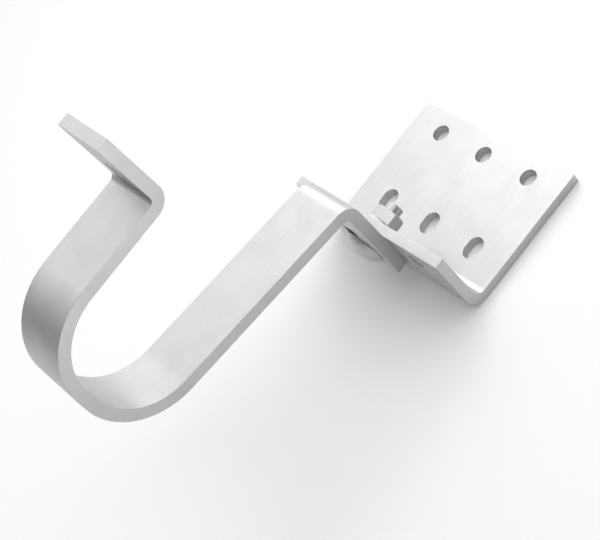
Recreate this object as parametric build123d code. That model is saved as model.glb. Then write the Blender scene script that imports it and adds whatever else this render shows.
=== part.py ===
from build123d import *
from math import radians, tan
import os

# Height-adjustable roof hook for a solar mounting rail: a folded flat-bar hook bolted to an angle plate.
# Millimetres. The origin is the centre of the base plate's underside, which lies on the rafter.
# +X points up the roof slope, -X down it towards the crook, +Y across the roof, +Z away from it.

# Angle plate
plate_length = 75.0  # along X, over the flange's outer face
plate_width = 100.0
plate_thickness = 5.0
flange_height = 40.0  # over the plate's underside
plate_fold_radius = 5.0  # inside the fold

# Holes of the angle plate
hole_diameter = 8.4
hole_pitch = 30.0
hole_count = 3
slot_length = 11.4  # end to end
slot_row = 23.3  # from the flange's outer face to the row's axis
hole_row = 10.9  # from the plate's free end to the row's axis
flange_hole_drop = 10.5  # from the flange's free end to the row's axis

# Flat bar of the hook
bar_width = 30.0
bar_thickness = 6.0
bar_fold_radius = 3.0  # inside the two tight folds

# Runs of the flat bar, from the flange to the rail
foot_below_bolt = 12.4  # from the bolt's axis to the bar's lower end
riser_length = 44.5  # straight run up the flange
shoulder_turn = 84.0
arm_length = 95.0  # straight run over the lower tile
crook_lower_radius = 31.0  # inside
crook_lower_turn = 88.0
crook_flat = 6.7
crook_upper_radius = 30.0  # inside
return_length = 41.0
tip_turn = 90.0
tip_length = 33.6

# Rail hole in the tip
tip_hole_diameter = 8.4
tip_hole_drop = 23.0  # from the tip's free end

# Carriage bolt, held against turning by its square neck in the riser's slot
bolt_diameter = 8.0
bolt_length = 23.0  # under the head
bolt_end_chamfer = 0.4
head_diameter = 20.6
head_height = 4.9
head_rim = 0.5
neck_width = 8.2
neck_depth = 5.0
neck_corner = 1.0  # radius, the same in the slot
neck_clearance = 0.15  # on each side of the neck
riser_slot_travel = 12.0  # how far the hook can be lowered

# Flange nut
nut_across_flats = 13.0
nut_height = 8.0
nut_flange_diameter = 17.9
nut_flange_rim = 1.2
nut_flange_rise = 0.9  # the flange's cone, from its rim to the hexagon
nut_chamfer_angle = 30.0
thread_clearance = 0.05  # on the radius, between the plain shank and the nut's bore

# Worked-out places
flange_face = -plate_length / 2
bolt_height = flange_height - flange_hole_drop
bar_middle = flange_face - bar_thickness / 2
nut_seat = flange_face + plate_thickness
crook_upper_turn = 180.0 - (90.0 - shoulder_turn) - crook_lower_turn


def folded_profile(start, heading, folds, tail, thickness):
    """Side view of a folded flat. Each fold is (straight run before it, inside radius, turn)."""
    rails = []
    for side in (1, -1):
        point = Vector(*start) + Vector(0, side * thickness / 2).rotate(Axis.Z, heading)
        angle = heading
        for run, inside, turn in folds:
            straight = PolarLine(point, run, angle)
            radius = inside if side * turn > 0 else inside + thickness
            bend = JernArc(straight @ 1, straight % 1, radius, turn)
            rails += [straight, bend]
            point = bend @ 1
            angle += turn
        last = PolarLine(point, tail, angle)
        rails.append(last)
    half = len(rails) // 2
    ends = [Line(rails[0] @ 0, rails[half] @ 0), Line(rails[half - 1] @ 1, rails[-1] @ 1)]
    return make_face(rails + ends)


def folded_flat(width, *profile):
    """The folded flat itself, centred on the XZ plane."""
    return extrude(Plane.XZ * folded_profile(*profile), width / 2, both=True)


def row(count, pitch):
    """Y places of a centred row of holes."""
    return [(i - (count - 1) / 2) * pitch for i in range(count)]


def angle_plate():
    """Base plate with a flange folded up at its lower end, and three rows of holes."""
    fold_reach = plate_fold_radius + plate_thickness
    body = folded_flat(
        plate_width,
        (flange_face + plate_thickness / 2, flange_height),
        -90,
        [(flange_height - fold_reach, plate_fold_radius, 90)],
        plate_length - fold_reach,
        plate_thickness,
    )
    round_hole = Cylinder(hole_diameter / 2, 3 * plate_thickness)
    long_hole = extrude(SlotOverall(slot_length, hole_diameter), 3 * plate_thickness / 2, both=True)
    for y in row(hole_count, hole_pitch):
        body -= Pos(flange_face + slot_row, y, plate_thickness / 2) * long_hole
        body -= Pos(flange_face + plate_length - hole_row, y, plate_thickness / 2) * round_hole
        body -= Pos(flange_face + plate_thickness / 2, y, bolt_height) * Rot(0, 90, 0) * round_hole
    return body


def riser_slot():
    """Square-ended slot that the bolt's neck slides in; the bolt stands at its lower end."""
    width = neck_width + 2 * neck_clearance
    shape = RectangleRounded(width + riser_slot_travel, width, neck_corner)
    cut = extrude(shape, bar_thickness, both=True)
    return Pos(bar_middle, 0, bolt_height + riser_slot_travel / 2) * Rot(0, 90, 0) * cut


def hook_bar():
    """One flat bar: riser, tight shoulder, arm, wide crook, return run and upright tip."""
    body = folded_flat(
        bar_width,
        (bar_middle, bolt_height - foot_below_bolt),
        90,
        [
            (riser_length, bar_fold_radius, shoulder_turn),
            (arm_length, crook_lower_radius, -crook_lower_turn),
            (crook_flat, crook_upper_radius, -crook_upper_turn),
            (return_length, bar_fold_radius, tip_turn),
        ],
        tip_length,
        bar_thickness,
    )
    tip_end = body.faces().sort_by(Axis.Z)[-1].center()
    tip_hole = Rot(0, 90, 0) * Cylinder(tip_hole_diameter / 2, 2 * bar_thickness)
    return body - riser_slot() - Pos(tip_end.X, 0, tip_end.Z - tip_hole_drop) * tip_hole


def carriage_bolt():
    """Domed head, square neck and shank, built along +Z and laid along +X."""
    head_radius = head_diameter / 2
    dome = head_height - head_rim
    head_side = [(0, -head_height), (0, 0), (head_radius, 0), (head_radius, -head_rim)]
    ball_radius = (head_radius**2 + dome**2) / (2 * dome)
    outline = Polyline(*head_side) + RadiusArc((head_radius, -head_rim), (0, -head_height), ball_radius)
    head = revolve(Plane.XZ * make_face(outline), Axis.Z)
    neck = extrude(RectangleRounded(neck_width, neck_width, neck_corner), neck_depth)
    shank = Pos(0, 0, bolt_length / 2) * Cylinder(bolt_diameter / 2, bolt_length)
    shank = chamfer(shank.edges().sort_by(Axis.Z)[-1], bolt_end_chamfer)
    return Pos(flange_face - bar_thickness, 0, bolt_height) * Rot(0, 90, 0) * (head + neck + shank)


def flange_nut():
    """Hexagon nut with a round flange, one corner up, built along +Z and laid along +X."""
    corner_radius = nut_across_flats / 3**0.5
    flange_radius = nut_flange_diameter / 2
    flat_radius = nut_across_flats / 2
    cone_top = nut_flange_rim + nut_flange_rise
    skirt = Cylinder(flange_radius, nut_flange_rim, align=(Align.CENTER, Align.CENTER, Align.MIN))
    cone = Cone(flange_radius, flat_radius, nut_flange_rise, align=(Align.CENTER, Align.CENTER, Align.MIN))
    hexagon = extrude(RegularPolygon(corner_radius, 6, rotation=0), nut_height)
    crown = Cone(
        flat_radius + nut_height / tan(radians(nut_chamfer_angle)),
        flat_radius,
        nut_height,
        align=(Align.CENTER, Align.CENTER, Align.MIN),
    )
    bore = Cylinder(bolt_diameter / 2 + thread_clearance, 3 * nut_height)
    nut = skirt + Pos(0, 0, nut_flange_rim) * cone + (hexagon & crown) - bore
    return Pos(nut_seat, 0, bolt_height) * Rot(0, 90, 0) * nut


nodes = {
    "angle_plate": angle_plate(),
    "hook_bar": hook_bar(),
    "carriage_bolt": carriage_bolt(),
    "flange_nut": flange_nut(),
}

os.makedirs("parts", exist_ok=True)
for name, shape in nodes.items():
    export_step(shape, f"parts/{name}.step")
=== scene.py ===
import bmesh
import bpy
from math import asin, cos, pi, radians, sin, tan
from mathutils import Matrix, Vector


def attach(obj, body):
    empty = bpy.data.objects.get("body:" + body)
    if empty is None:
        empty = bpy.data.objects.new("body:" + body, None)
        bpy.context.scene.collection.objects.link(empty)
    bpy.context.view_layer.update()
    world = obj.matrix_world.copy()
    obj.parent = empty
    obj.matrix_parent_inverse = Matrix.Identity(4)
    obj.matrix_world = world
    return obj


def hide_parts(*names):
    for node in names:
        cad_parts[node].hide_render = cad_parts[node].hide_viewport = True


# A tile-roof hook for a solar rail. A folded flat-bar hook is clamped to an angle plate by one
# carriage bolt and a flange nut. All four pieces are stainless steel, pickled to a pale satin.
# Sizes are in millimetres and each mesh is scaled to metres once, when it becomes an object.
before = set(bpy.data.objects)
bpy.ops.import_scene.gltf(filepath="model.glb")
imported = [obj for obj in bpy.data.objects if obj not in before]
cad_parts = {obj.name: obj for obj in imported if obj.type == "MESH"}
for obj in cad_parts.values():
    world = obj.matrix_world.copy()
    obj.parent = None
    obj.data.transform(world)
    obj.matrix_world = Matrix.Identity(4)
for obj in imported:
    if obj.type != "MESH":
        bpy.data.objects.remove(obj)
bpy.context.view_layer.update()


# Angle plate
# Sheet of stainless steel 5 mm thick, cut with its three rows of holes and folded up at one end
# on a press brake. It is screwed flat to the rafter, and its flange carries the hook.
plate_length, plate_width, plate_thickness = 75.0, 100.0, 5.0
flange_height, plate_fold_radius = 40.0, 5.0
flange_face = -plate_length / 2
hole_radius, hole_pitch = 4.2, 30.0
slot_length = 11.4
slot_row = 23.3  # from the flange's outer face to the row of slots
hole_row = 10.9  # from the plate's free end to the row of round holes
bolt_height = 29.5  # of the flange's holes, over the plate's underside
plate_edge_break = 0.15  # the cut edges are tumbled just enough to be safe to handle
mill_pale, mill_dull, mill_roughness = "#c0c0c0", "#bcbcbc", 0.46
fold_step = radians(3)  # one facet of a fold
fold_least_steps = 8
punch_reach = 30.0  # through the steel and well out on both sides
punch_steps = 64
weld = 1e-4  # points nearer than this are one point
sharp_from = radians(40)  # a flatter edge is only a facet of a curve


def heading_vector(heading, length):
    """A step in the XZ plane, at an angle in degrees from +X towards +Z."""
    return Vector((cos(radians(heading)), 0, sin(radians(heading)))) * length


def fold_flat(width, thickness, start, heading, folds, tail):
    """A flat drawn out along its folds, each one (straight run before it, inside radius, turn)."""
    bm = bmesh.new()
    bmesh.ops.create_grid(bm, x_segments=1, y_segments=1, size=0.5)
    bmesh.ops.scale(bm, vec=(thickness, width, 1), verts=bm.verts)
    bmesh.ops.rotate(bm, matrix=Matrix.Rotation(-radians(heading + 90), 3, "Y"), verts=bm.verts)
    bmesh.ops.translate(bm, vec=(start[0], 0, start[1]), verts=bm.verts)
    point = Vector((start[0], 0, start[1]))
    first_end = end = bm.faces[:][0]

    def draw_out(length):
        grown = bmesh.ops.extrude_face_region(bm, geom=[end])["geom"]
        if end is not first_end:
            bmesh.ops.delete(bm, geom=[end], context="FACES_ONLY")
        drawn = next(g for g in grown if isinstance(g, bmesh.types.BMFace))
        bmesh.ops.translate(bm, vec=heading_vector(heading, length), verts=drawn.verts)
        return drawn

    for run, inside, turn in folds:
        end = draw_out(run)
        side = 1 if turn > 0 else -1
        point += heading_vector(heading, run)
        centre = point + heading_vector(heading + 90, side * (inside + thickness / 2))
        grown = bmesh.ops.spin(
            bm,
            geom=[end, *end.edges, *end.verts],
            cent=centre,
            axis=(0, -side, 0),
            angle=radians(abs(turn)),
            steps=max(fold_least_steps, round(radians(abs(turn)) / fold_step)),
        )["geom_last"]
        end = next(g for g in grown if isinstance(g, bmesh.types.BMFace))
        point = centre + Matrix.Rotation(-radians(turn), 3, "Y") @ (point - centre)
        heading += turn
    draw_out(tail)
    return bm


def to_object(bm, name):
    """Turns a bmesh in millimetres into an object in metres, with its normals outwards."""
    bmesh.ops.remove_doubles(bm, verts=bm.verts, dist=weld)
    bmesh.ops.recalc_face_normals(bm, faces=bm.faces)
    bmesh.ops.scale(bm, vec=(0.001, 0.001, 0.001), verts=bm.verts)
    mesh = bpy.data.meshes.new(name)
    bm.to_mesh(mesh)
    bm.free()
    made = bpy.data.objects.new(name, mesh)
    bpy.context.scene.collection.objects.link(made)
    return made


def carve(piece, operation, *tools):
    """Cuts, joins or trims a piece with tools that are then thrown away."""
    for tool in tools:
        cut = piece.modifiers.new("carve", "BOOLEAN")
        cut.operation, cut.solver, cut.object = operation, "EXACT", tool
        depsgraph = bpy.context.evaluated_depsgraph_get()
        carved = bpy.data.meshes.new_from_object(piece.evaluated_get(depsgraph))
        piece.modifiers.clear()
        bm = bmesh.new()
        bm.from_mesh(carved)
        # The cut leaves specks a few thousandths of a millimetre long, here in metres
        bmesh.ops.remove_doubles(bm, verts=bm.verts, dist=3e-6)
        bmesh.ops.dissolve_degenerate(bm, edges=bm.edges, dist=1e-6)
        bm.to_mesh(carved)
        bm.free()
        piece.data = carved
        carved.name = piece.name
        bpy.data.objects.remove(tool)


def everything(bm):
    """All the points, edges and faces, as bisect_plane takes them."""
    return bm.verts[:] + bm.edges[:] + bm.faces[:]


def punch(axis, centre, stretch=0.0):
    """The punch for a hole through a plate: a cylinder, split and stretched for a slot."""
    bm = bmesh.new()
    bmesh.ops.create_cone(
        bm,
        cap_ends=True,
        segments=punch_steps,
        radius1=hole_radius,
        radius2=hole_radius,
        depth=punch_reach,
    )
    if stretch:
        bmesh.ops.bisect_plane(bm, geom=everything(bm), plane_co=(0, 0, 0), plane_no=(1, 0, 0))
        for vert in bm.verts:
            if abs(vert.co.x) > 1e-5:  # all but the points on the split itself
                vert.co.x += stretch / 2 if vert.co.x > 0 else -stretch / 2
    if axis == "X":
        bmesh.ops.rotate(bm, matrix=Matrix.Rotation(pi / 2, 3, "Y"), verts=bm.verts)
    bmesh.ops.translate(bm, vec=centre, verts=bm.verts)
    return to_object(bm, "punch")


def soften(piece, width):
    """Breaks the sharp edges by this many millimetres and keeps the flats flat to the eye."""
    edge = piece.modifiers.new("edge_break", "BEVEL")
    edge.width, edge.segments, edge.limit_method = width / 1000, 2, "ANGLE"
    edge.angle_limit, edge.use_clamp_overlap = sharp_from, False
    flats = piece.modifiers.new("flats", "WEIGHTED_NORMAL")
    flats.keep_sharp = True
    for polygon in piece.data.polygons:
        polygon.use_smooth = True


def linear(hex_colour):
    """A colour written as sRGB hex, as the linear values that the shaders take."""
    parts = [int(hex_colour[i : i + 2], 16) / 255 for i in (1, 3, 5)]
    return [c / 12.92 if c <= 0.04045 else ((c + 0.055) / 1.055) ** 2.4 for c in parts] + [1.0]


def node(tree, kind, sockets={}, **settings):
    """Adds one node. A socket takes a number, a colour or another node's output."""
    made = tree.nodes.new("ShaderNode" + kind)
    for name, value in settings.items():
        setattr(made, name, value)
    for name, value in sockets.items():
        if isinstance(value, bpy.types.NodeSocket):
            tree.links.new(value, made.inputs[name])
        else:
            made.inputs[name].default_value = value
    return made


def pickled_stainless(name, pale, dull, roughness, grain):
    """Stainless steel after pickling: a pale, even satin with faint mill lines along the strip."""
    material = bpy.data.materials.new(name)
    material.use_nodes = True
    tree = material.node_tree
    tree.nodes.clear()
    place = node(tree, "TexCoord").outputs["Object"]
    # Mill lines run along the strip, which bends only in XZ: 1.2 mm apart, about 11 mm long
    strip = node(tree, "Mapping", {"Vector": place, "Scale": (90, 1 / 0.0012, 90)})
    lines = node(
        tree, "TexNoise", {"Vector": strip.outputs["Vector"], "Scale": 1.0, "Detail": 2.0}
    ).outputs["Fac"]
    # Pickling leaves soft clouds about 12 mm across
    clouds = node(
        tree, "TexNoise", {"Vector": place, "Scale": 1 / 0.012, "Detail": 3.0}
    ).outputs["Fac"]
    # The etched grain is about 0.05 mm, drawn at 0.7 mm so that it shows
    etched = node(
        tree, "TexNoise", {"Vector": place, "Scale": 1 / 0.0007, "Detail": 2.0}
    ).outputs["Fac"]
    # Clouds and lines together shade the steel between its dull and its pale grey
    mottled = node(tree, "Mix", {0: 0.4, 2: clouds, 3: lines}, data_type="FLOAT").outputs[0]
    tint = node(tree, "MapRange", {"Value": mottled, "From Min": 0.38, "From Max": 0.62})
    shades = {0: tint.outputs["Result"], 6: linear(dull), 7: linear(pale)}
    colour = node(tree, "Mix", shades, data_type="RGBA").outputs[2]
    # The paler clouds are the smoother ones
    spread = {"To Min": roughness + 0.03, "To Max": roughness - 0.03}
    worn = node(tree, "MapRange", {"Value": mottled, "From Min": 0.3, "From Max": 0.7, **spread})
    # Lines and grain stand out by at most 0.05 mm
    relief = node(tree, "Mix", {0: 0.5, 2: lines, 3: etched}, data_type="FLOAT").outputs[0]
    bump = node(tree, "Bump", {"Height": relief, "Strength": grain, "Distance": 0.00005})
    steel = node(
        tree,
        "BsdfPrincipled",
        {
            "Base Color": colour,
            "Metallic": 1.0,
            "Roughness": worn.outputs["Result"],
            "Normal": bump.outputs["Normal"],
        },
    )
    node(tree, "OutputMaterial", {"Surface": steel.outputs["BSDF"]})
    return material


plate = to_object(
    fold_flat(
        plate_width,
        plate_thickness,
        (flange_face + plate_thickness / 2, flange_height),
        -90,
        [(flange_height - plate_fold_radius - plate_thickness, plate_fold_radius, 90)],
        plate_length - plate_fold_radius - plate_thickness,
    ),
    "plate_and_flange",
)
for y in (-hole_pitch, 0, hole_pitch):
    carve(
        plate,
        "DIFFERENCE",
        punch("Z", (flange_face + slot_row, y, 0), stretch=slot_length - 2 * hole_radius),
        punch("Z", (flange_face + plate_length - hole_row, y, 0)),
        punch("X", (flange_face, y, bolt_height)),
    )
soften(plate, plate_edge_break)
plate_steel = pickled_stainless("pickled_plate", mill_pale, mill_dull, mill_roughness, grain=0.25)
plate.data.materials.append(plate_steel)
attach(plate, "root")
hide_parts("angle_plate")


# Hook
# One length of 30 x 6 mm stainless flat bar, folded cold: a tight shoulder over the flange, a
# wide crook round the tile's edge and a tight fold up to the tip that the rail bolts to.
bar_width, bar_thickness, bar_fold_radius = 30.0, 6.0, 3.0
bar_middle = flange_face - bar_thickness / 2
foot_below_bolt, riser_length, shoulder_turn = 12.4, 44.5, 84.0
arm_length, crook_lower_radius, crook_lower_turn = 95.0, 31.0, 88.0
crook_flat, crook_upper_radius, crook_upper_turn = 6.7, 30.0, 86.0
return_length, tip_turn, tip_length = 41.0, 90.0, 33.6
tip_hole = (-90.33, 0, 167.67)  # its centre, on the tip's middle plane
neck_slot_width, neck_slot_travel, neck_corner = 8.5, 12.0, 1.0
neck_corner_steps = 6
neck_punch_reach = 20.0
bar_edge_break = 0.15

hook = to_object(
    fold_flat(
        bar_width,
        bar_thickness,
        (bar_middle, bolt_height - foot_below_bolt),
        90,
        [
            (riser_length, bar_fold_radius, shoulder_turn),
            (arm_length, crook_lower_radius, -crook_lower_turn),
            (crook_flat, crook_upper_radius, -crook_upper_turn),
            (return_length, bar_fold_radius, tip_turn),
        ],
        tip_length,
    ),
    "folded_hook",
)


def square_punch(centre, size):
    """A square punch along X, with its four long edges rounded as the bolt's neck is."""
    bm = bmesh.new()
    bmesh.ops.create_cube(bm, size=1)
    bmesh.ops.scale(bm, vec=size, verts=bm.verts)
    bmesh.ops.bevel(
        bm,
        geom=[e for e in bm.edges if abs((e.verts[0].co - e.verts[1].co).x) > weld],
        offset=neck_corner,
        segments=neck_corner_steps,
        profile=0.5,
        affect="EDGES",
        material=-1,
    )
    bmesh.ops.translate(bm, vec=centre, verts=bm.verts)
    return to_object(bm, "square_punch")


carve(
    hook,
    "DIFFERENCE",
    punch("X", tip_hole),
    square_punch(
        (bar_middle, 0, bolt_height + neck_slot_travel / 2),
        (neck_punch_reach, neck_slot_width, neck_slot_width + neck_slot_travel),
    ),
)
soften(hook, bar_edge_break)
bar_steel = pickled_stainless("pickled_flat_bar", mill_pale, mill_dull, mill_roughness, grain=0.3)
hook.data.materials.append(bar_steel)
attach(hook, "root")
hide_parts("hook_bar")


# Carriage bolt
# Cold-headed M8 stainless bolt with a rolled thread. Its domed head lies on the riser and its
# square neck fills the slot's width, so that only the nut needs a spanner.
bolt_radius, bolt_length, bolt_end_chamfer = 4.0, 23.0, 0.4
head_radius, head_height, head_rim = 10.3, 4.9, 0.5
neck_width, neck_depth = 8.2, 5.0
neck_root = 0.5  # how far the neck is let into the head
thread_pitch = 1.25
thread_depth = 0.1  # a real one is 0.68 deep; the photograph shows the end all but smooth
thread_root = 0.4  # how far the thread is let into the neck
thread_spare_turns = 3  # wound on, then cut off with the ends
thread_steps = 48  # a turn
turned_steps = 96
dome_steps = 24
bolt_edge_break = 0.08
head_seat = flange_face - bar_thickness


def lay_along_x(bm, seat):
    """Lays a fastener that was built up +Z along +X, with its seat on the steel."""
    bmesh.ops.rotate(bm, matrix=Matrix.Rotation(pi / 2, 3, "Y"), verts=bm.verts)
    bmesh.ops.translate(bm, vec=(seat, 0, bolt_height), verts=bm.verts)
    return bm


def line_through(bm, places):
    """Points joined in a row by edges, ready to spin."""
    verts = [bm.verts.new(place) for place in places]
    return verts + [bm.edges.new(pair) for pair in zip(verts, verts[1:])]


def turned(rail, seat, name):
    """A turned or headed form: (radius, height) corners from axis to axis, spun round."""
    bm = bmesh.new()
    bmesh.ops.spin(
        bm,
        geom=line_through(bm, [(radius, 0, height) for radius, height in rail]),
        cent=(0, 0, 0),
        axis=(0, 0, 1),
        angle=2 * pi,
        steps=turned_steps,
        use_merge=True,
    )
    return to_object(lay_along_x(bm, seat), name)


dome_height = head_height - head_rim
ball_radius = (head_radius**2 + dome_height**2) / (2 * dome_height)
dome_angle = asin(head_radius / ball_radius)
dome = []
for i in range(dome_steps + 1):
    angle = dome_angle * i / dome_steps
    dome.append((ball_radius * sin(angle), ball_radius * (1 - cos(angle)) - head_height))
bolt = turned(dome + [(head_radius, 0), (0, 0)], head_seat, "coach_bolt")
carve(
    bolt,
    "UNION",
    square_punch(
        (head_seat + (neck_depth - neck_root) / 2, 0, bolt_height),
        (neck_depth + neck_root, neck_width, neck_width),
    ),
)

# The thread is one rounded ridge, given as shares of its depth and of the pitch. It is wound up
# the shank, cut off square at both ends and chamfered at the far one.
ridge_shares = [(0, 0), (0.8, 0.22), (1, 0.42), (1, 0.58), (0.8, 0.78), (0, 1)]
ridge = [
    (bolt_radius - thread_depth * (1 - out), 0, (along - 1) * thread_pitch)
    for out, along in ridge_shares
]
turns = round(bolt_length / thread_pitch) + thread_spare_turns
bm = bmesh.new()
bmesh.ops.spin(
    bm,
    geom=line_through(bm, ridge),
    cent=(0, 0, 0),
    axis=(0, 0, 1),
    angle=2 * pi * turns,
    steps=thread_steps * turns,
    dvec=(0, 0, thread_pitch / thread_steps),
)
bmesh.ops.remove_doubles(bm, verts=bm.verts, dist=weld)
for height, side in ((neck_depth - thread_root, -1), (bolt_length, 1)):
    bmesh.ops.bisect_plane(
        bm,
        geom=everything(bm),
        plane_co=(0, 0, height),
        plane_no=(0, 0, side),
        clear_outer=True,
    )
bmesh.ops.holes_fill(bm, edges=[e for e in bm.edges if e.is_boundary], sides=0)
for vert in bm.verts:
    radius = Vector(vert.co.xy).length
    cone = bolt_radius - max(0, bolt_end_chamfer - (bolt_length - vert.co.z))
    if radius > cone:
        vert.co.xy *= cone / radius
carve(bolt, "UNION", to_object(lay_along_x(bm, head_seat), "thread"))
soften(bolt, bolt_edge_break)
bolt_steel = pickled_stainless("bolt_stainless", "#bcbcbc", "#b7b7b7", roughness=0.4, grain=0.15)
bolt.data.materials.append(bolt_steel)
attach(bolt, "root")
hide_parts("carriage_bolt")


# Flange nut
# Cold-formed M8 stainless nut with its own washer face, 13 mm across flats. It clamps the
# riser and the flange together from inside the angle.
nut_across_flats, nut_height, nut_seat = 13.0, 8.0, flange_face + plate_thickness
nut_flange_radius, nut_flange_rim, nut_flange_rise = 8.95, 1.2, 0.9
nut_chamfer = radians(30)
nut_bore_radius = 4.05
nut_edge_break = 0.15
hexagon_foot = 0.4  # the hexagon starts inside the washer face
countersink_depth, countersink_flare = 0.5, 0.7
bore_overrun = 0.2  # past the nut's top
bore_underrun = 1.0  # past its seat

flats = nut_across_flats / 2
hexagon_height = nut_height - hexagon_foot
bm = bmesh.new()
bmesh.ops.create_cone(
    bm,
    cap_ends=True,
    segments=6,
    radius1=flats / cos(pi / 6),
    radius2=flats / cos(pi / 6),
    depth=hexagon_height,
)
bmesh.ops.rotate(bm, matrix=Matrix.Rotation(pi / 2, 3, "Z"), verts=bm.verts)  # one corner up
bmesh.ops.translate(bm, vec=(0, 0, hexagon_foot + hexagon_height / 2), verts=bm.verts)
nut = to_object(lay_along_x(bm, nut_seat), "flanged_nut")
crown = [(0, 0), (flats + nut_height / tan(nut_chamfer), 0), (flats, nut_height), (0, nut_height)]
washer_top = nut_flange_rim + nut_flange_rise
washer_face = [
    (0, 0),
    (nut_flange_radius, 0),
    (nut_flange_radius, nut_flange_rim),
    (flats, washer_top),
    (0, washer_top),
]
bore = [
    (0, -bore_underrun),
    (nut_bore_radius, -bore_underrun),
    (nut_bore_radius, nut_height - countersink_depth),
    (nut_bore_radius + countersink_flare, nut_height + bore_overrun),
    (0, nut_height + bore_overrun),
]
carve(nut, "INTERSECT", turned(crown, nut_seat, "crown"))
carve(nut, "UNION", turned(washer_face, nut_seat, "washer_face"))
carve(nut, "DIFFERENCE", turned(bore, nut_seat, "bore"))
soften(nut, nut_edge_break)
nut_steel = pickled_stainless("nut_stainless", "#cbcbcb", "#c6c6c6", roughness=0.4, grain=0.15)
nut.data.materials.append(nut_steel)
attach(nut, "root")
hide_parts("flange_nut")


# Floor
# A plain white sweep that the plate lies on, as it does on the rafter. It isn't part of the
# hook, and lies a hair lower, so that the plate's underside never shares its plane.
floor_reach = 30000.0
floor_drop = 0.0001  # metres
floor_glow = 0.07  # seen by the camera and in the steel, over the light that falls on it

bm = bmesh.new()
bmesh.ops.create_grid(bm, x_segments=1, y_segments=1, size=floor_reach)
floor = to_object(bm, "floor")
floor.data.transform(Matrix.Translation((0, 0, -floor_drop)))
paper = bpy.data.materials.new("white_paper")
paper.use_nodes = True
tree = paper.node_tree
tree.nodes.clear()
matt = node(tree, "BsdfDiffuse", {"Color": linear("#f7f7f7")}).outputs["BSDF"]
ray = node(tree, "LightPath").outputs
seen = node(tree, "Math", {0: ray["Is Camera Ray"], 1: ray["Is Glossy Ray"]}, operation="ADD")
seen = node(
    tree,
    "Math",
    {0: seen.outputs[0], 1: ray["Is Transmission Ray"]},
    operation="ADD",
    use_clamp=True,
)
lift = node(tree, "Math", {0: seen.outputs[0], 1: floor_glow}, operation="MULTIPLY").outputs[0]
glow = node(tree, "Emission", {"Color": linear("#ffffff"), "Strength": lift}).outputs["Emission"]
both = node(tree, "AddShader", {0: matt, 1: glow}).outputs["Shader"]
node(tree, "OutputMaterial", {"Surface": both})
floor.data.materials.append(paper)


# Lights
# Two wide far lamps, one up the slope and one low on the far side, and two small soft ones close
# by, at the plate's free end and below the tip on the near side, in a dim even room.
far_lamp_width = radians(80)
room_strength = 0.26


def lamp(name, kind, energy, **settings):
    """A lamp that lights the hook and isn't seen itself."""
    made = bpy.data.objects.new(name, bpy.data.lights.new(name, kind))
    made.data.energy = energy
    for setting, value in settings.items():
        setattr(made.data, setting, value)
    made.visible_camera = False
    bpy.context.scene.collection.objects.link(made)
    return made


def far_lamp(name, azimuth, elevation, energy):
    """Azimuth in degrees from +X towards +Y, elevation above the floor."""
    sky_patch = lamp(name, "SUN", energy, angle=far_lamp_width)
    sky_patch.rotation_euler = (0, radians(90 - elevation), radians(azimuth))


def near_lamp(name, place, aim, energy, size, spread):
    """A soft box at a place in metres, aimed at another."""
    box = lamp(name, "AREA", energy, size=size, spread=radians(spread))
    box.location = place
    box.rotation_euler = (Vector(place) - Vector(aim)).to_track_quat("Z", "Y").to_euler()


far_lamp("up_the_slope", 5, 66, 1.75)
far_lamp("far_side_low", 78, 14, 1.6)
near_lamp("by_the_plate", (0.24, 0.17, 0.2), (0, 0, 0.02), 0.36, size=0.25, spread=180)
near_lamp("below_the_tip", (-0.12, -0.3, 0.1), (-0.115, 0, 0.195), 0.023, size=0.12, spread=65)

room = bpy.data.worlds.new("room")
room.use_nodes = True
room.node_tree.nodes.clear()
dim = node(
    room.node_tree, "Background", {"Color": linear("#ffffff"), "Strength": room_strength}
)
node(room.node_tree, "OutputWorld", {"Surface": dim.outputs["Background"]})
bpy.context.scene.world = room


# Camera
# The photograph's viewpoint: about 0.7 m away on the near side, looking down at 45 degrees, and
# rolled over so that the slope runs up to the right. Its place is in metres.
photo = bpy.data.cameras.new("photo")
photo.sensor_width, photo.lens = 36.0, 96.418
photo.clip_start, photo.clip_end = 0.01, 100.0
camera = bpy.data.objects.new("photo", photo)
bpy.context.scene.collection.objects.link(camera)
camera.location = (-0.13208, -0.49317, 0.55362)
camera.rotation_euler = [radians(a) for a in (34.2598, 30.8038, -43.9164)]
bpy.context.scene.camera = camera
bpy.context.scene.view_settings.view_transform = "Standard"
